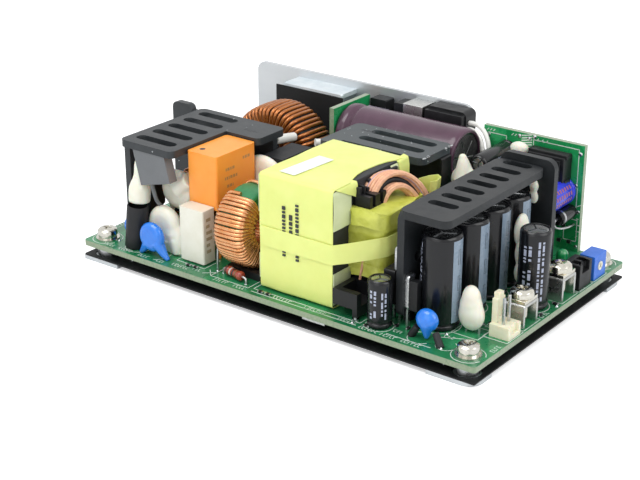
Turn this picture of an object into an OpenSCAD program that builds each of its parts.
// Open frame power supply on an L-shaped chassis, 5 x 3 inch board size.
// Millimetres. X runs from the input end to the output end, Y from the front
// long edge to the upright flange, Z up from the underside of the chassis.

/* [Board and chassis] */
// length of the main board
board_l = 127; // [120:0.5:140]
// width of the main board
board_w = 76.2; // [70:0.2:90]
// thickness of the main board
board_t = 1.6; // [1:0.1:2.4]
// sheet thickness of the chassis
plate_t = 1.2; // [1:0.1:2]
// height of the standoffs above the chassis
standoff_h = 3; // [2:0.1:6]
// distance of the fixing holes from the board edges
hole_inset = 4.75; // [4:0.05:7]
// diameter of the tapped hole in each standoff
tap_d = 2.9; // [2.5:0.1:3.2]
// length of the upright flange
flange_l = 77.5; // [60:0.5:90]
// height of the flange over the top of the board
flange_h = 33.9; // [25:0.1:45]
// thickness of the insulating sheet
sheet_t = 0.4; // [0.2:0.1:1]

/* [Heat sinks] */
// sheet thickness of the heat sinks
sink_t = 2; // [1.5:0.1:3]
// height of the heat sinks over the board
sink_h = 30.3; // [24:0.1:34]
// width of the slots in the heat sinks
slot_w = 3.1; // [2:0.1:4]

/* [Magnetics] */
// width of the main transformer core
core_w = 22.4; // [20:0.1:28]
// depth of the main transformer core
core_d = 31.3; // [28:0.1:36]
// height of the transformer over the board
core_h = 31.6; // [26:0.1:34]
// outer diameter of the boost choke core
choke_d = 20.8; // [18:0.2:22]
// outer diameter of the line filter choke core
filter_d = 28; // [20:0.2:30]

/* [Capacitors and terminals] */
// diameter of the bulk capacitors
bulk_d = 16; // [14:0.2:16.4]
// length of the bulk capacitors
bulk_l = 39; // [30:0.5:40]
// diameter of the four output capacitors
out_d = 10; // [8:0.1:10]
// height of the four output capacitors
out_h = 24.5; // [16:0.5:26]
// turning clearance of the trimmer rotor in its bore
rotor_gap = 0.05; // [0.02:0.01:0.1]

/* [Hidden] */
$fn = 48;

foot = board_w + 1;
screw_gap = 0.4;
shank_d = tap_d + 1.5;
body_y = foot + plate_t;
lift = plate_t + standoff_h + board_t;
under = -board_t;
deck = under - standoff_h;
floor_z = deck - plate_t;
over = 0;
e = 0.02;

holes = [
  [hole_inset, hole_inset], [board_l - hole_inset, hole_inset],
  [hole_inset, board_w - hole_inset], [board_l - hole_inset, board_w - hole_inset]
];

module place() { translate([-board_l / 2, -body_y / 2, lift]) children(); }

module box(x0, x1, y0, y1, z0, z1) { translate([x0, y0, z0]) cube([x1 - x0, y1 - y0, z1 - z0]); }

module round_plate(l, w, r) {
  translate([r, 0]) square([l - 2 * r, w]);
  translate([0, r]) square([l, w - 2 * r]);
  for (x = [r, l - r], y = [r, w - r]) translate([x, y]) circle(r = r);
}

module slab(x0, x1, y0, y1, z0, z1, r) {
  translate([x0, y0, z0]) linear_extrude(height = z1 - z0) round_plate(x1 - x0, y1 - y0, r);
}

// a slab whose rounded outline faces the front
module front_slab(x0, x1, y0, y1, z0, z1, r) {
  translate([x0, y1, z0]) rotate([90, 0, 0]) linear_extrude(height = y1 - y0) round_plate(x1 - x0,
    z1 - z0, r);
}

// a slab whose rounded outline faces the output end
module side_slab(x0, x1, y0, y1, z0, z1, r) {
  translate([x0, y0, z0]) rotate([90, 0, 90]) linear_extrude(height = x1 - x0) round_plate(y1 - y0,
    z1 - z0, r);
}

module rod(x, y, z0, z1, r) { translate([x, y, z0]) cylinder(r = r, h = z1 - z0); }

module slot_x(x0, x1, y, z0, z1, w) {
  box(x0 + w / 2, x1 - w / 2, y - w / 2, y + w / 2, z0, z1);
  for (x = [x0 + w / 2, x1 - w / 2]) rod(x, y, z0, z1, w / 2);
}

function unit(v) = v / norm(v);
function ring(c, t, r, n, ref) =
  let (a = unit(cross(t, ref)), b = unit(cross(a, t)))
  [for (k = [0 : n - 1]) c + r * (a * cos(360 * k / n) + b * sin(360 * k / n))];
function blend(p, i, u) =
  let (m = len(p) - 1, a = p[max(i - 1, 0)], b = p[i], c = p[min(i + 1, m)], d = p[min(i + 2, m)])
  0.5 * ((2 * b) + (c - a) * u + (2 * a - 5 * b + 4 * c - d) * u * u + (3 * b - a - 3 * c + d) * u * u * u);
function smooth(p, k) = concat([for (i = [0 : len(p) - 2], j = [0 : k - 1]) blend(p, i, j / k)],
  [p[len(p) - 1]]);

// a round wire along a list of points
module wire(p, r, n = 8, ref = [0, 0, 1]) {
  m = len(p);
  pts = [for (i = [0 : m - 1]) each ring(p[i], unit(p[min(i + 1, m - 1)] - p[max(i - 1, 0)]), r, n, ref)];
  sides = [for (i = [0 : m - 2], k = [0 : n - 1])
    [i * n + k, i * n + (k + 1) % n, (i + 1) * n + (k + 1) % n, (i + 1) * n + k]];
  ends = [[for (k = [n - 1 : -1 : 0]) k], [for (k = [0 : n - 1]) (m - 1) * n + k]];
  polyhedron(points = pts, faces = concat(sides, ends), convexity = 10);
}

// eight points once round a coil section, as [radial, axial] from -1 to 1
sect = [[1, -0.72], [1, 0.72], [0.84, 1], [-0.84, 1], [-1, 0.72], [-1, -0.72], [-0.84, -1], [0.84, -1]];
function coil(turns, a0, span, rm, hr, ha) =
  [for (i = [0 : turns * 8])
    let (s = sect[i % 8], a = a0 + span * i / (turns * 8), r = rm + hr * s[0])
    [r * cos(a), r * sin(a), ha * s[1]]];

module toroid(ro, ri, t, c) {
  rotate_extrude($fn = 72) {
    translate([ri + c, -t / 2]) square([ro - ri - 2 * c, t]);
    translate([ri, -t / 2 + c]) square([ro - ri, t - 2 * c]);
    for (x = [ri + c, ro - c], y = [-t / 2 + c, t / 2 - c]) translate([x, y]) circle(r = c, $fn = 24);
  }
}

/* ---- chassis ---- */
module base_outline() {
  difference() {
    union() {
      round_plate(board_l, board_w, 4);
      square([flange_l, board_w]);
    }
    translate([12.5, -4]) round_plate(board_l - 26, 6.5, 1.2);
    translate([-4, 8]) round_plate(6.5, board_w - 17, 1.2);
    translate([board_l - 2.5, 8]) round_plate(6.5, board_w - 17, 1.2);
    translate([flange_l + 3, board_w - 2.5]) round_plate(board_l - flange_l - 15.5, 6, 1.2);
    for (p = holes) translate(p) circle(d = shank_d);
  }
}

module bend_profile() {
  r = plate_t + 0.8;
  translate([body_y - r, floor_z + r]) difference() {
    intersection() {
      circle(r = r, $fn = 96);
      translate([0, -r]) square([r, r]);
    }
    circle(r = 0.8, $fn = 96);
  }
  translate([board_w - 0.4, floor_z]) square([body_y - r - board_w + 0.4, plate_t]);
  translate([foot, floor_z + r]) square([plate_t, flange_h - floor_z - r - 4]);
}

module chassis() {
  color("#c9ccd0") place() {
    translate([0, 0, floor_z]) linear_extrude(height = plate_t) base_outline();
    rotate([90, 0, 90]) linear_extrude(height = flange_l) bend_profile();
    front_slab(0, flange_l, foot, body_y, flange_h - 12, flange_h, 3);
  }
}

module insulating_sheet() {
  color("#202224") place() translate([0, 0, deck]) linear_extrude(height = sheet_t) difference() {
    round_plate(board_l, board_w, 0.4);
    for (p = holes) translate(p) circle(d = 7);
  }
}

module standoffs() {
  color("#b9bcc0") place() for (p = holes) translate([p[0], p[1], floor_z]) difference() {
    union() {
      cylinder(d = shank_d, h = plate_t + e);
      translate([0, 0, plate_t]) cylinder(d = 6, h = standoff_h);
    }
    translate([0, 0, -1]) cylinder(d = tap_d, h = plate_t + standoff_h + 2);
  }
}

module main_board() {
  color("#1e6b46") place() translate([0, 0, under]) linear_extrude(height = board_t) difference() {
    round_plate(board_l, board_w, 1);
    for (p = holes) translate(p) circle(d = tap_d + screw_gap);
  }
}

module board_screws() {
  color("#d2d4d6") place() for (p = holes) translate([p[0], p[1], 0]) difference() {
    union() {
      translate([0, 0, under]) cylinder(d = tap_d, h = 1.5 - under);
      translate([0, 0, 1.3]) cylinder(d = 5.7, h = 1.3);
      translate([0, 0, 2.6]) cylinder(r1 = 2.85, r2 = 2.1, h = 0.75);
    }
    for (a = [0, 90]) rotate([0, 0, a + 20]) translate([-1.55, -0.4, 2.15]) cube([3.1, 0.8, 2]);
  }
}

module screw_washers() {
  color("#b8bbbe") place() for (p = holes) translate([p[0], p[1], 0]) {
    difference() {
      cylinder(d = 6.6, h = 0.5);
      translate([0, 0, -1]) cylinder(d = tap_d + screw_gap, h = 3);
    }
    // split spring washer on top of the flat one
    difference() {
      translate([0, 0, 0.5]) cylinder(d = 5.2, h = 0.8);
      translate([0, 0, -1]) cylinder(d = tap_d + screw_gap, h = 3);
      rotate([0, 0, 200]) translate([0.5, -0.3, 0.52]) cube([4, 0.6, 2]);
    }
  }
}

/* ---- heat sinks ---- */
in_x = 10.8;
in_y = 37.2;
module heatsink_input() {
  zt = sink_h - sink_t;
  color("#34373a") place() difference() {
    union() {
      slab(in_x, in_x + 18.8, 5.2, in_y + sink_t, zt, sink_h, 1.8);
      slab(in_x, in_x + 30.2, 27.3, in_y + sink_t, zt, sink_h, 1.8);
      front_slab(1, in_x + 27.2, in_y, in_y + sink_t, 2.4, sink_h - 0.8, 1.2);
      front_slab(1, 8.4, in_y, in_y + sink_t, 12, sink_h + 0.9, 1.8);
      for (x = [5, 20, 34]) box(x, x + 2.4, in_y + 0.3, in_y + sink_t - 0.3, -over, 3);
      // front leg, narrowing towards its foot
      translate([in_x, 0, 0]) rotate([90, 0, 90]) linear_extrude(height = sink_t)
        polygon([[7, zt + 0.5], [7, 10], [10, 8], [10, -over], [13, -over], [13, 3], [20, 8], [20,
          zt + 0.5]]);
    }
    for (i = [0 : 4]) slot_x(in_x + 2.4, in_x + 16, 10 + 6.3 * i, zt - 1, sink_h + 1, slot_w);
  }
}

mid_y = 55.4 - sink_t;
module heatsink_middle() {
  zt = sink_h - sink_t;
  color("#43474a") place() difference() {
    union() {
      slab(54, 85, 40.5, mid_y + sink_t, zt, sink_h, 2.2);
      slab(54, 59.5, 36.9, 48, zt, sink_h, 1.4);
      front_slab(57, 84, mid_y, mid_y + sink_t, 2.4, sink_h - 0.8, 1);
      for (x = [59, 80]) box(x, x + 2.4, mid_y + 0.3, mid_y + sink_t - 0.3, -over, 3);
    }
    for (y = [45.6, 51.6]) slot_x(61.4, 82, y, zt - 1, sink_h + 1, slot_w);
  }
}

out_x = 99.7;
out_y = 7.5;
module heatsink_output() {
  zt = sink_h - sink_t;
  color("#232527") place() difference() {
    union() {
      slab(out_x, out_x + 14, out_y, 54, zt, sink_h, 2.4);
      side_slab(out_x, out_x + sink_t, out_y, 57, 2.4, sink_h - 0.6, 2);
      front_slab(out_x, out_x + 15.9, 55, 57, 2.4, 32, 2.6);
      for (y = [11, 46]) box(out_x + 0.3, out_x + sink_t - 0.3, y, y + 2.4, -over, 3);
      box(out_x + 12, out_x + 14, 55.3, 56.7, -over, 3);
    }
    for (i = [0 : 6]) slot_x(out_x + 2.7, out_x + 10.9, 16.8 + 5.86 * i, zt - 1, sink_h + 1, slot_w - 0.2);
    for (y = dev_y) translate([out_x - 1, y, 17]) rotate([0, 90, 0]) cylinder(d = 2.6, h = sink_t + 2);
  }
}

dev_y = [13.6, 29, 44.4];
module sink_devices() {
  color("#1b1b1c") place() {
    for (y = dev_y) difference() {
      union() {
        side_slab(out_x - 4.4, out_x - 1.2, y - 5, y + 5, 4.6, 13.6, 0.4);
        side_slab(out_x - 1.3, out_x - e, y - 4.6, y + 4.6, 5, 13.2, 0.4);
      }
      translate([out_x - 4.9, y + 2.6, 11.8]) rotate([0, 90, 0]) cylinder(d = 1.4, h = 0.8);
    }
    // small one on the other face, near the front edge
    box(out_x + sink_t + 1.2, out_x + sink_t + 3.5, 8.4, 10.3, 4.7, 12.4);
  }
}

module sink_device_tabs() {
  x = out_x + sink_t;
  color("#bfc2c4") place() {
    for (y = dev_y) {
      difference() {
        side_slab(out_x - 1.3, out_x, y - 5, y + 5, 13.6, 20, 0.8);
        translate([out_x - 3, y, 17]) rotate([0, 90, 0]) cylinder(d = 2.6, h = 4);
      }
      for (d = [-2.54, 0, 2.54]) box(out_x - 2.9, out_x - 2.4, y + d - 0.4, y + d + 0.4, -over, 4.6);
    }
    side_slab(x, x + 1.2, 8.2, 11.4, 4.4, 13.6, 1);
    box(x + 0.3, x + 0.9, 8.5, 9.5, -over, 5);
  }
}

module sink_screws() {
  color("#d6d8da") place() for (y = dev_y) translate([out_x, y, 17]) rotate([0, -90, 0]) difference() {
    union() {
      translate([0, 0, -sink_t - 0.6]) cylinder(d = 2.6, h = sink_t + 2.6);
      translate([0, 0, 1.3]) cylinder(d = 5.4, h = 1.5);
      translate([0, 0, 2.8 - e]) cylinder(r1 = 2.7, r2 = 1.9, h = 0.7);
    }
    for (a = [0, 90]) rotate([0, 0, a + 35]) translate([-1.5, -0.4, 2.3]) cube([3, 0.8, 2]);
  }
}

module bridge_rectifier() {
  color("#18191a") place() {
    front_slab(15, 36, in_y - 3.4, in_y, 4.2, 22, 1);
    for (x = [17.8, 22.9, 28.1, 33.2]) box(x - 0.5, x + 0.5, in_y - 2.2, in_y - 1.6, -over, 4.6);
  }
}

module leaning_device() {
  color("#55595c") place() {
    intersection() {
      translate([17.9, 5.4, 18.5]) rotate([0, -14.3, 0]) cube([10.9, 3, 12]);
      box(10, 32, 5, 9, 15, sink_h - sink_t);
    }
    wire(smooth([[20.4, 6.9, 19.6], [21.5, 7.4, 14.4], [20.9, 11, 10.2], [20.5, 12, 4], [20.5, 12,
      -over]], 4), 0.55, 8, [1, 0, 0.1]);
  }
}

module middle_device() {
  color("#3c3e40") place() {
    front_slab(70.3, 85.8, mid_y - 4.8, mid_y, 8, sink_h - sink_t - 0.1, 0.5);
    for (x = [72.6, 78, 83.5]) box(x - 0.6, x + 0.6, mid_y - 2.7, mid_y - 2.1, -over, 8.4);
  }
}

/* ---- main transformer ---- */
tx = 60;
ty = 5;
t_low = 0.6;
leg = 7;
yoke = 7;
tcx = tx + core_w / 2;
tcy = ty + core_d / 2;
x_end = tx + core_w;
y_end = ty + core_d;
win0 = ty + leg + 0.3;
win1 = y_end - leg - 0.3;

module half_core(z0, z1, up) {
  difference() {
    box(tx, x_end, ty, y_end, z0, z1);
    difference() {
      box(tx - 1, x_end + 1, ty + leg, y_end - leg, up ? z0 - 1 : z0 + yoke, up ? z1 - yoke : z1 + 1);
      rod(tcx, tcy, z0 - 2, z1 + 2, 4.8);
    }
  }
}

module transformer_core() {
  zm = (t_low + core_h) / 2;
  color("#2b2c2f") place() {
    half_core(t_low, zm, false);
    half_core(zm, core_h, true);
  }
}

module transformer_bobbin() {
  z0 = t_low + yoke;
  z1 = core_h - yoke;
  color("#1c1c1e") place() {
    difference() {
      union() {
        slab(tx - 5, x_end + 9.4, win0, win1, z0, z0 + 1.2, 2);
        slab(tx - 5, x_end + 9.4, win0, win1, z1 - 1.2, z1, 2);
        translate([tcx, tcy, z0 + 0.5]) cylinder(r = 6, h = z1 - z0 - 1);
      }
      translate([tcx, tcy, z0 - 1]) cylinder(r = 4.85, h = z1 - z0 + 2);
    }
    // guide block for the heavy leads
    difference() {
      box(x_end + 0.6, x_end + 5.2, win0 + 1, win0 + 8, z1 - 1, core_h - 3);
      box(x_end + 1.6, x_end + 6, win0 + 2.2, win0 + 3.4, z1 + 1, core_h);
      box(x_end + 1.6, x_end + 6, win0 + 5.4, win0 + 6.6, z1 + 1, core_h);
    }
    // pin rail at the output end
    difference() {
      box(x_end + 1.4, x_end + 8.8, 3.2, 38, 1, z0 - 0.4);
      box(x_end + 3, x_end + 9, 5, 11, 3.6, z0);
      box(x_end + 1, x_end + 7.4, 3, 12.6, 0, 3);
      box(x_end + 1, x_end + 7.4, 16, 36, 0, 3);
    }
    box(x_end + 1.4, x_end + 4, win0, win1, z0 - 0.6, z0 + 0.2);
    // pin rail at the input end
    box(tx - 4.6, tx - 0.4, 26, 38, 2.4, z0 - 0.4);
    box(tx - 4.6, tx - 1, win1 - 6, win1, z0 - 0.6, z0 + 0.2);
  }
}

module transformer_winding() {
  z0 = t_low + yoke + 1.2;
  z1 = core_h - yoke - 1.2;
  color("#d3d45a") place() difference() {
    union() {
      slab(tx - 4.6, x_end + 7.4, win0, win1, z0, z1, 5.6);
      slab(tx - 4.8, x_end + 8.4, win0 + 0.6, win1 - 0.6, z0 + 0.1, z1 - 4, 6.4);
    }
    translate([tcx, tcy, z0 - 1]) cylinder(r = 6.05, h = z1 - z0 + 2);
  }
}

belt = [[tx - 0.3, ty - 0.65], [x_end + 0.3, ty - 0.65], [x_end + 9.2, 17], [x_end + 9.2, 24],
        [x_end + 0.3, y_end + 0.65], [tx - 0.3, y_end + 0.65], [tx - 5.3, 24], [tx - 5.3, 17]];
belt_in = [[tx - 0.1, ty - 0.3], [x_end + 0.1, ty - 0.3], [x_end + 8.85, 17.1], [x_end + 8.85, 23.9],
           [x_end + 0.1, y_end + 0.3], [tx - 0.1, y_end + 0.3], [tx - 4.95, 23.9], [tx - 4.95, 17.1]];

module transformer_tape() {
  w = 0.3;
  zb = 12;
  color("#eaf08c") place() {
    difference() {
      union() {
        // wrap over top, front, underside and back
        difference() {
          side_slab(tx, x_end, ty - w, y_end + w, t_low - w, core_h + w, 0.7);
          box(tx - 1, x_end + 1, ty, y_end, t_low, core_h);
        }
        // flaps folded against the sides of both outer legs
        for (s = [0, 1]) translate([0, s * 2 * tcy, 0]) mirror([0, s, 0]) {
          box(x_end, x_end + w, ty - w, ty + leg, 21, core_h + w);
          box(x_end, x_end + w, ty - w, ty + leg, 5, 9.6);
          box(tx - w, tx, ty - w, ty + leg, 21, core_h + w);
          box(tx - w, tx, ty - w, ty + leg, 3, 9.6);
        }
        box(tx - w, tx, ty, y_end, core_h - 3, core_h + w);
        box(x_end, x_end + w, ty + leg - 1, win0 + 1.6, core_h - 3.6, core_h + w);
      }
      box(x_end - 1, x_end + 1, win0 + 8, win1 - 3, core_h - 3, core_h + 1);
    }
    // belt round the legs and the winding
    translate([0, 0, zb]) linear_extrude(height = 5.3) difference() {
      polygon(belt);
      polygon(belt_in);
    }
  }
}

module transformer_pins() {
  color("#d8dadb") place() {
    for (y = [3.9, 14, 19.5, 25, 31]) {
      rod(x_end + 8, y, -over, 1, 0.5);
      rod(x_end + 8, y, 0, 0.5, 0.9);
    }
    for (y = [28, 32, 36]) rod(tx - 3, y, -over, 2.4, 0.5);
  }
}

module litz_leads() {
  z1 = core_h - yoke;
  color("#dba179") place() {
    wire(smooth([[84.2, 21.8, z1 + 0.25], [84.2, 22.4, z1 + 3.4], [85.2, 25.4, z1 + 5.6], [88.4, 29.4,
      z1 + 4.8], [91.6, 32, z1 + 1],
      [93, 33.6, 15], [93.2, 34, 6], [93.2, 34, -over]], 5), 1.2, 10, [0, 1, 0.2]);
    wire(smooth([[86.8, 21.8, z1 + 0.3], [86.7, 22.3, z1 + 2.4], [87.4, 24.2, z1 + 4.2], [90, 27.6,
      z1 + 3.2], [92.6, 30, z1 - 0.6],
      [93.2, 30.8, 14], [93.2, 31, 6], [93.2, 31, -over]], 5), 1.1, 10, [0, 1, 0.2]);
    wire([[86.4, 12, 12.2], [86.6, 11.9, 11], [86.4, 11.8, 9], [86.3, 11.8, 7.2]], 0.4, 8, [0, 1, 0]);
  }
}

/* ---- chokes ---- */
wire_b = 0.45;
bx = 49.3;
by = 14.6;
bz = choke_d / 2 + 2 * wire_b + 0.7;
module boost_choke_core() {
  color("#2f7d4c") place() translate([bx, by, bz]) rotate([0, 90, 0]) toroid(choke_d / 2,
    choke_d / 4 + 0.4, 8.2, 1);
}

module boost_choke_winding() {
  ro = choke_d / 2 + 0.1 + wire_b;
  ri = choke_d / 4 + 0.3 - wire_b;
  color("#c58a4e") place() {
    translate([bx, by, bz]) rotate([0, 90, 0]) wire(coil(28, 6, 348, (ro + ri) / 2, (ro - ri) / 2,
      4.65), wire_b, 6, [0, 0, 1]);
    rod(43.8, 6.2, -over, 9, 0.4);
  }
}

module boost_choke_base() {
  color("#1d1e20") place() difference() {
    slab(bx - 3.3, bx + 8.4, by - 7.4, by + 9.4, 0, 2, 0.8);
    translate([bx - 10, by, bz]) rotate([0, 90, 0]) cylinder(r = choke_d / 2 + 1.02, h = 16.4);
  }
}

wire_f = 0.65;
fx = 27;
fy = 55.5;
fz = filter_d / 2 + 2 * wire_f + 0.35;
module filter_choke_core() {
  color("#2a2a2c") place() translate([fx, fy, fz]) rotate([90, 0, 0]) toroid(filter_d / 2,
    filter_d / 4 - 0.7, 10.2, 1);
}

module filter_choke_winding() {
  ro = filter_d / 2 + 0.1 + wire_f;
  ri = filter_d / 4 - 0.8 - wire_f;
  color("#b9793c") place() translate([fx, fy, fz]) rotate([90, 0, 0]) for (h = [0, 1])
    rotate([0, 0, h * 180]) wire(coil(11, -80, 160, (ro + ri) / 2, (ro - ri) / 2, 5.85), wire_f, 6, [0,
      0, 1]);
}

rx = 22;
ry = 24;
rz = 9.8;
module rear_choke_core() {
  color("#2a2a2c") place() translate([rx, ry, rz]) rotate([0, 90, 0]) toroid(8.2, 4.4, 6, 0.8);
}

module rear_choke_winding() {
  color("#c27f43") place() translate([rx, ry, rz]) rotate([0, 90, 0])
    wire(coil(18, 10, 340, 6.3, 2.55, 3.6), 0.5, 6, [0, 0, 1]);
}

// gapped ferrite choke with its bobbin
module ferrite_choke() {
  color("#4a4d50") place() {
    difference() {
      box(38.5, 45.5, 32, 45, 3, 24);
      box(38, 46, 36, 41.4, 7, 20);
    }
    box(39, 45, 36.3, 41.1, 3, 20);
    box(38.8, 45.2, 33, 44, 0, 3.1);
    // bobbin end
    box(45.4, 49.5, 42, 47, 20, 23);
    box(46, 49, 42.4, 46.6, 0, 20.1);
  }
}

/* ---- capacitors ---- */
module can(d, h, lip = 0.5) {
  cylinder(d = d, h = h - lip);
  translate([0, 0, h - lip - e]) cylinder(r1 = d / 2, r2 = d / 2 - lip, h = lip + e);
}

uy = 55.55 + bulk_d / 2;
low_z = bulk_d / 2 + 0.05;
module bulk_body() {
  difference() {
    union() {
      cylinder(d = bulk_d - 1, h = 1.2);
      translate([0, 0, 0.8]) cylinder(d = bulk_d, h = 2);
      translate([0, 0, 2.6]) cylinder(d = bulk_d - 1.6, h = 2);
      translate([0, 0, 4]) cylinder(d = bulk_d, h = bulk_l - 5);
      translate([0, 0, bulk_l - 1 - e]) cylinder(r1 = bulk_d / 2, r2 = bulk_d / 2 - 1, h = 1 + e);
    }
    translate([0, 0, bulk_l - 0.5]) cylinder(d = bulk_d - 3.4, h = 1);
    for (a = [0, 60, 120]) rotate([0, 0, a]) translate([-bulk_d / 2 + 3, -0.2,
      bulk_l - 0.8]) cube([bulk_d - 6, 0.4, 1]);
  }
}

module bulk_capacitors() {
  color("#67475a") place() for (z = [low_z, low_z + bulk_d + 0.1])
    translate([45.3, uy, z]) rotate([0, 90, 0]) bulk_body();
}

cap_x = 107.9;
cap_y = [14.6, 26.8, 37, 47.2];
module vented_can(d, h, n, a0 = 0) {
  difference() {
    union() {
      cylinder(d = d - 0.9, h = 0.6);
      translate([0, 0, 0.4]) cylinder(d = d, h = 1);
      translate([0, 0, 1.2]) cylinder(d = d - 0.7, h = 1);
      translate([0, 0, 2]) can(d, h - 2, 0.5);
    }
    translate([0, 0, h - 0.3]) cylinder(d = d - 1.9, h = 1);
    for (k = [0 : n - 1]) rotate([0, 0, a0 + k * 360 / n]) translate([0, -0.16,
      h - 0.6]) cube([d / 2 - 1.6, 0.32, 1]);
  }
}

module output_capacitors() {
  color("#26272a") place() for (y = cap_y) translate([cap_x, y, 0]) vented_can(out_d, out_h, 3, 25);
}

module front_capacitors() {
  color("#232427") place() {
    translate([120.7, 37.4, 0]) vented_can(8, 21, 4, 10);
    translate([96.7, 5.1, 0]) vented_can(6.3, 12.8, 4, 20);
  }
}

module relay() {
  x0 = 30;
  color("#f5a03c") place() {
    difference() {
      slab(x0, x0 + 10.2, 10.8, 27, 14.5, 29.5, 0.8);
      translate([x0 + 2.6, 14.2, 29.2]) cylinder(d = 1.6, h = 1);
    }
    for (p = [[1.4, 2], [8.8, 2], [1.4, 14], [8.8, 14]]) rod(x0 + p[0], 10.8 + p[1], -over, 14.7, 0.5);
  }
}

module box_capacitor() {
  color("#e9e2c8") place() {
    slab(31, 39.4, 5.8, 10.6, 0.4, 15.6, 0.5);
    for (x = [32.4, 38]) box(x - 0.6, x + 0.6, 6.4, 10, 0, 0.6);
  }
}

module disc(x, y, z, r, t) {
  translate([x, y, z]) rotate([90, 0, 0]) rotate_extrude() {
    square([r - t / 2, t]);
    translate([r - t / 2, t / 2]) circle(d = t, $fn = 24);
  }
}

module white_discs() {
  color("#ecece4") place() {
    disc(24.2, 10.4, 7.2, 5.4, 3.6);
    // coating that runs down over the right leg
    translate([0, 8.2, 0]) rotate([90, 0, 0]) linear_extrude(height = 1.6)
      polygon([[20.4, 6], [21, -over], [22.2, -over], [23, 2], [28, 2], [29.4, -over], [30.6, -over],
        [29.2, 6.4]]);
    disc(24.3, 15, 16.4, 5.6, 3.4);
    for (x = [21.8, 26.8]) rod(x, 13.3, -over, 13.4, 0.45);
    disc(41.4, 30.6, 17.6, 7.8, 3.4);
    for (x = [38.2, 44.6]) rod(x, 28.9, -over, 11.6, 0.45);
  }
}

module bottle_varistor() {
  color("#e9e9e0") place() {
    translate([15.9, 7, 13.1]) rotate([-26, 0, 0]) {
      cylinder(r = 2.85, h = 4.6);
      translate([0, 0, 4.6 - e]) cylinder(r1 = 2.85, r2 = 2.25, h = 1.5);
      translate([0, 0, 6]) cylinder(r = 2.25, h = 4.6);
      translate([0, 0, 10.6]) sphere(r = 2.25);
    }
    rod(16.6, 9.7, -over, 14.2, 0.45);
  }
}

module black_sleeves() {
  color("#232426") place() {
    translate([16, 5.6, -over]) difference() {
      cylinder(r = 3, h = 12.4);
      translate([0, 0, 8]) cylinder(r = 2.65, h = 6);
    }
    // sleeves over the legs of the drop-shaped capacitor
    for (p = [[[107.1, 5.3, 2.6], [106, 5.2, -over]], [[113.3, 5, 2.4], [115, 3.8, -over]]]) hull() {
      translate(p[0]) sphere(r = 0.85, $fn = 16);
      translate(p[1]) cylinder(r = 0.95, h = 0.6, $fn = 16);
    }
  }
}

module blue_capacitors() {
  color("#2b80e0") place() {
    disc(23.1, 4.9, 5.3, 4.1, 3);
    for (x = [19.2, 28.4]) hull() {
      translate([23.1 + (x - 23.1) * 0.5, 3.4, 3.6]) sphere(r = 1.3, $fn = 16);
      translate([x, 3.4, -over]) cylinder(r = 0.8, h = 0.6, $fn = 16);
    }
    disc(10.1, 6.6, 4.4, 2.8, 2.6);
    for (x = [8.9, 11.6]) rod(x, 5.3, -over, 2, 0.5);
    // drop-shaped one between its sleeved legs
    translate([110.2, 5.4, 5]) hull() {
      scale([1, 0.68, 1]) sphere(r = 3, $fn = 28);
      translate([0, 0, -3.7]) sphere(r = 0.9, $fn = 12);
    }
  }
}

module ivory_capacitors() {
  color("#edede2") place() {
    translate([116.8, 15.7, 0]) hull() {
      translate([0, 0, 4]) scale([1, 0.66, 1]) sphere(r = 3.5, $fn = 28);
      translate([0, 0, 9.6]) scale([1, 0.76, 1]) sphere(r = 2.9, $fn = 24);
    }
    for (x = [114.8, 118.6]) rod(x, 15.7, -over, 2.6, 0.35);
    translate([114.9, 42.4, 6.6]) hull() {
      scale([0.42, 1, 1]) sphere(r = 3.7, $fn = 28);
      translate([0, 0, 4.4]) scale([0.45, 1, 1]) sphere(r = 3.2, $fn = 28);
    }
    for (y = [40.4, 44.4]) rod(114.9, y, -over, 5, 0.35);
    translate([90.6, 52.6, 0]) hull() {
      translate([0, 0, 22]) scale([1, 0.5, 1]) sphere(r = 4.2, $fn = 28);
      translate([-1, 0, 28.2]) scale([1, 0.8, 1]) sphere(r = 1.2, $fn = 20);
    }
    for (x = [88.6, 92.6]) rod(x, 52.6, -over, 19.4, 0.4);
    translate([96.4, board_w - 3.6, 26.2]) scale([1.3, 0.92, 0.9]) sphere(r = 2, $fn = 24);
  }
}

module axial_part() {
  color("#8e4a33") place() translate([46.1, 6, 1.6]) rotate([0, 0, -12]) {
    translate([1.4, 0, 0]) rotate([0, 90, 0]) cylinder(r = 1.25, h = 6.4);
    rotate([0, 90, 0]) cylinder(r = 0.32, h = 9.4);
    for (x = [0, 9.4]) {
      translate([x, 0, -1.6 - over]) cylinder(r = 0.32, h = 1.6 + over);
      translate([x, 0, 0]) sphere(r = 0.32, $fn = 12);
    }
  }
}

module underside_parts() {
  color("#c3c6c8") place() {
    // trimmed pins and solder under the board
    for (p = [[16, 2.6], [18.6, 3.4], [28.4, 3.4], [43.8, 6.2], [54.8, 4], [66, 3], [90.4, 3.9], [98.2,
      3.4], [106.4, 5.2],
      [114.8, 3.6], [117, 2.6], [board_l - 3, 17.9], [board_l - 3, 20.3], [board_l - 3, 54],
      [board_l - 3, 56.6]]) translate([p[0],
        p[1], under]) {
      translate([0, 0, -0.9]) cylinder(r1 = 0.45, r2 = 1.05, h = 0.9);
      translate([0, 0, -1.7]) cylinder(r = 0.35, h = 1);
    }
    box(75.6, 82.6, 1.5, 5, under - 1.4, under);
  }
}

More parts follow.
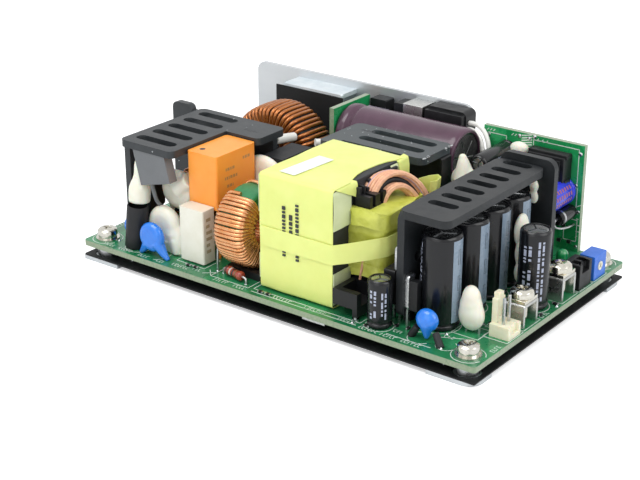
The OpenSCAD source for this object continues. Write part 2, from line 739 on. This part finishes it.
/* ---- connections ---- */
term_y = [[24, 31], [43.4, 50.4]];
tmx = board_l - 6.6;
module terminal_brackets() {
  color("#c9cac6") place() for (t = term_y) {
    difference() {
      side_slab(tmx, tmx + 5.5, t[0], t[1], -3, 6.2, 0.8);
      box(tmx - 1, tmx + 7, t[0] + 0.8, t[1] - 0.8, -4, 5.4);
      box(tmx - 1, tmx + 7, t[0] - 1, t[1] + 1, -4, 0);
      translate([tmx + 2.7, (t[0] + t[1]) / 2, 3]) cylinder(d = 3.2, h = 5);
    }
    for (y = [t[0] + 0.1, t[1] - 0.7], x = [tmx + 0.8, tmx + 3.6]) box(x, x + 1, y, y + 0.6, -over, 0.4);
  }
}

module terminal_washers() {
  color("#d9dad6") place() for (t = term_y) translate([tmx + 2.7, (t[0] + t[1]) / 2, 6.2]) difference() {
    translate([-2.7, -3.1, 0]) cube([5.4, 6.2, 0.9]);
    translate([0, 0, -1]) cylinder(d = 3.2, h = 3);
  }
}

module terminal_screws() {
  color("#dcdcd8") place() for (t = term_y) translate([tmx + 2.7, (t[0] + t[1]) / 2, 0]) difference() {
    union() {
      translate([0, 0, 1.4]) cylinder(d = 3.2, h = 6);
      translate([0, 0, 7.1]) cylinder(d = 6.2, h = 1.5);
      translate([0, 0, 8.6 - e]) cylinder(r1 = 3.1, r2 = 2.2, h = 0.8);
    }
    for (a = [0, 90]) rotate([0, 0, a + 40]) translate([-1.8, -0.45, 8]) cube([3.6, 0.9, 2]);
  }
}

module fan_header() {
  x0 = board_l - 6.2;
  color("#e9e5cd") place() difference() {
    union() {
      slab(x0, x0 + 5.6, 16.2, 22, 0, 3.3, 0.3);
      box(x0, x0 + 1.5, 17.3, 20.9, 3, 9.6);
      box(x0, x0 + 1.5, 18, 20.2, 9.4, 11);
    }
    box(x0 + 1, x0 + 2, 17.9, 20.3, 4.4, 7.4);
    for (y = [17.85, 20.35]) box(x0 + 2.68, x0 + 3.32, y - 0.32, y + 0.32, -1, 5);
    box(x0 + 4.8, x0 + 6, 17.4, 20.8, 1.2, 5);
  }
}

module fan_header_pins() {
  x0 = board_l - 3.2;
  color("#d6d7cf") place() for (y = [17.85, 20.35]) box(x0 - 0.32, x0 + 0.32, y - 0.32, y + 0.32,
    -over, 10.2);
}

module signal_header() {
  x0 = board_l - 5.8;
  color("#1d1e20") place() difference() {
    box(x0, x0 + 5, 52, 58.5, 0, 7);
    for (y = [52.9, 55.7]) box(x0 + 1.6, x0 + 3.6, y, y + 1.9, 2, 8);
    box(x0 + 3.8, x0 + 6, 53.4, 57.1, 4.4, 8);
  }
}

trx = board_l - 5.1;
try0 = 59.9;
module trimmer_body() {
  color("#3b78d6") place() difference() {
    box(trx, trx + 4.4, try0, try0 + 6.5, 0, 6.7);
    translate([trx + 2.8, try0 + 3.25, 3.4]) rotate([0, 90, 0]) cylinder(r = 1.2 + rotor_gap, h = 4);
    for (y = [try0 - 1, try0 + 5.5]) box(trx - 1, trx + 2.6, y, y + 2, -1, 0.6);
  }
}

module trimmer_rotor() {
  color("#e8e2c0") place() translate([trx + 2.8, try0 + 3.25, 3.4]) rotate([0, 90, 0]) difference() {
    translate([0, 0, 0.05]) cylinder(r = 1.2, h = 1.7);
    for (a = [0, 90]) rotate([0, 0, a + 30]) translate([-1, -0.2, 1]) cube([2, 0.4, 2]);
  }
}

module led() {
  color("#1f9a54") place() translate([116.5, 60.5, 0]) {
    translate([0, 0, 1.6]) cylinder(r = 1.85, h = 0.9);
    translate([0, 0, 2.4]) cylinder(r = 1.6, h = 2.5);
    translate([0, 0, 4.9 - e]) sphere(r = 1.6);
    for (x = [-1.27, 1.27]) translate([x - 0.25, -0.25, -over]) cube([0.5, 0.5, 2.5]);
  }
}

module input_header() {
  color("#ece9dc") place() {
    difference() {
      union() {
        slab(0.8, 9, 42, 54.6, 0, 3.4, 0.3);
        box(7.6, 9, 42.6, 54, 3, 11);
      }
      box(0.6, 2, 45.6, 51, 1.2, 4);
    }
    for (y = [44.3, 52.3]) box(4.1, 5.3, y - 0.6, y + 0.6, 3.2, 11.4);
  }
}

/* ---- upright boards and flange parts ---- */
cb_x0 = 83;
cb_y = board_w - 1.8;
module control_board() {
  color("#1f8a52") place() translate([0, cb_y + 1.6, 0]) rotate([90, 0, 0]) linear_extrude(height = 1.6)
    polygon([[cb_x0 + 2.2, -over], [cb_x0 + 31, -over], [cb_x0 + 31, 30.5], [cb_x0, 30.5], [cb_x0, 27],
      [cb_x0 + 2.2, 24]]);
}

module control_parts() {
  color("#1f2022") place() {
    box(99.6, 110.5, cb_y - 4.9, cb_y, 20.5, 27.5);
    for (x = [101, 104.6, 108.2]) box(x, x + 1.4, cb_y - 5.6, cb_y - 4.4, 21.4, 26.6);
    // rectifier lying out from the board
    translate([111.2, cb_y, 10.8]) rotate([90, 0, 0]) cylinder(r = 2, h = 8.4);
    for (p = [[87.6, 4], [91, 8], [88.6, 13], [94, 11], [97.4, 17], [101.4, 8], [97, 4]])
      box(p[0], p[0] + 2, cb_y - 0.8, cb_y, p[1], p[1] + 1.3);
    box(94.9, 98.3, cb_y - 0.5, cb_y, 20.6, 22.6);
  }
}

module control_capacitors() {
  color("#2436a8") place() {
    translate([108, cb_y, 16.5]) rotate([90, 0, 0]) can(7.6, 12.4, 0.5);
    translate([91, cb_y, 25.2]) rotate([90, 0, 0]) can(5.2, 16.4, 0.5);
  }
}

module small_board() {
  color("#23915a") place() box(43.4, 45, 56, 73.5, -over, 32.3);
}

module flange_bracket() {
  color("#c4c8cc") place() {
    front_slab(16.3, 37.7, foot - 7.9, foot - 6.7, 4, 31.6, 0.5);
    box(16.3, 37.7, foot - 6.8, foot, 30.4, 31.6);
  }
}

module flange_film() {
  color("#1b1b1d") place() box(13.9, 38.5, foot - 8.3, foot - 7.9, 3, 30.9);
}

module flange_devices() {
  color("#222325") place() {
    front_slab(45.4, 51, foot - 4.2, foot, 8, 31.5, 0.5);
    front_slab(54.4, 65, foot - 5.2, foot, 18, 32, 0.5);
    front_slab(65.5, 78.6, foot - 5.3, foot, 22, 33.4, 1.6);
    box(66, 78.2, foot - 7, foot - 5.2, 29, 32.6);
    for (x = [46.4, 50, 56, 59.6, 63.2]) box(x - 0.4, x + 0.4, foot - 3, foot - 2.4, -over, 18.4);
  }
}

module flange_clip() {
  color("#cfd2d4") place() {
    box(58.5, 65, foot - 6, foot, 32, 32.9);
    box(58.5, 65, foot - 6.7, foot - 5.8, 28.8, 32.9);
  }
}

module white_leads() {
  f = foot - 77.2;
  color("#efefea") place() {
    wire(smooth([[78.7, 72.6 + f, 28.6], [81.6, 72 + f, 28.2], [84.8, 71 + f, 25.4], [86.4, 69, 18],
      [87, 66.6, 8], [87, 66, -over]], 4), 0.65, 8, [0, 1, 0.1]);
    wire(smooth([[78.7, 73.6 + f, 30.2], [82, 73.1 + f, 29.6], [85.8, 72 + f, 26.6], [87.8, 70.2, 18.6],
      [88.6, 67.4, 8], [88.6, 67, -over]], 4), 0.65, 8, [0, 1, 0.1]);
    // sleeves on the leads of the line filter choke
    wire([[35.8, 41.2, 25.2], [36, 45, 24.8], [36.2, 48.8, 24.2]], 1.35, 12, [0, 0, 1]);
    wire([[45, 47.6, 24.6], [47, 50, 24.4], [48.8, 52.6, 24]], 1.1, 12, [0, 0, 1]);
  }
}

/* ---- show ---- */
chassis();
insulating_sheet();
standoffs();
main_board();
board_screws();
screw_washers();
heatsink_input();
heatsink_middle();
heatsink_output();
sink_devices();
sink_device_tabs();
sink_screws();
bridge_rectifier();
leaning_device();
middle_device();
transformer_core();
transformer_bobbin();
transformer_winding();
transformer_tape();
transformer_pins();
litz_leads();
boost_choke_core();
boost_choke_winding();
boost_choke_base();
filter_choke_core();
filter_choke_winding();
rear_choke_core();
rear_choke_winding();
ferrite_choke();
bulk_capacitors();
output_capacitors();
front_capacitors();
relay();
box_capacitor();
white_discs();
bottle_varistor();
black_sleeves();
blue_capacitors();
ivory_capacitors();
axial_part();
underside_parts();
terminal_brackets();
terminal_washers();
terminal_screws();
fan_header();
fan_header_pins();
signal_header();
trimmer_body();
trimmer_rotor();
led();
input_header();
control_board();
control_parts();
control_capacitors();
small_board();
flange_bracket();
flange_film();
flange_devices();
flange_clip();
white_leads();
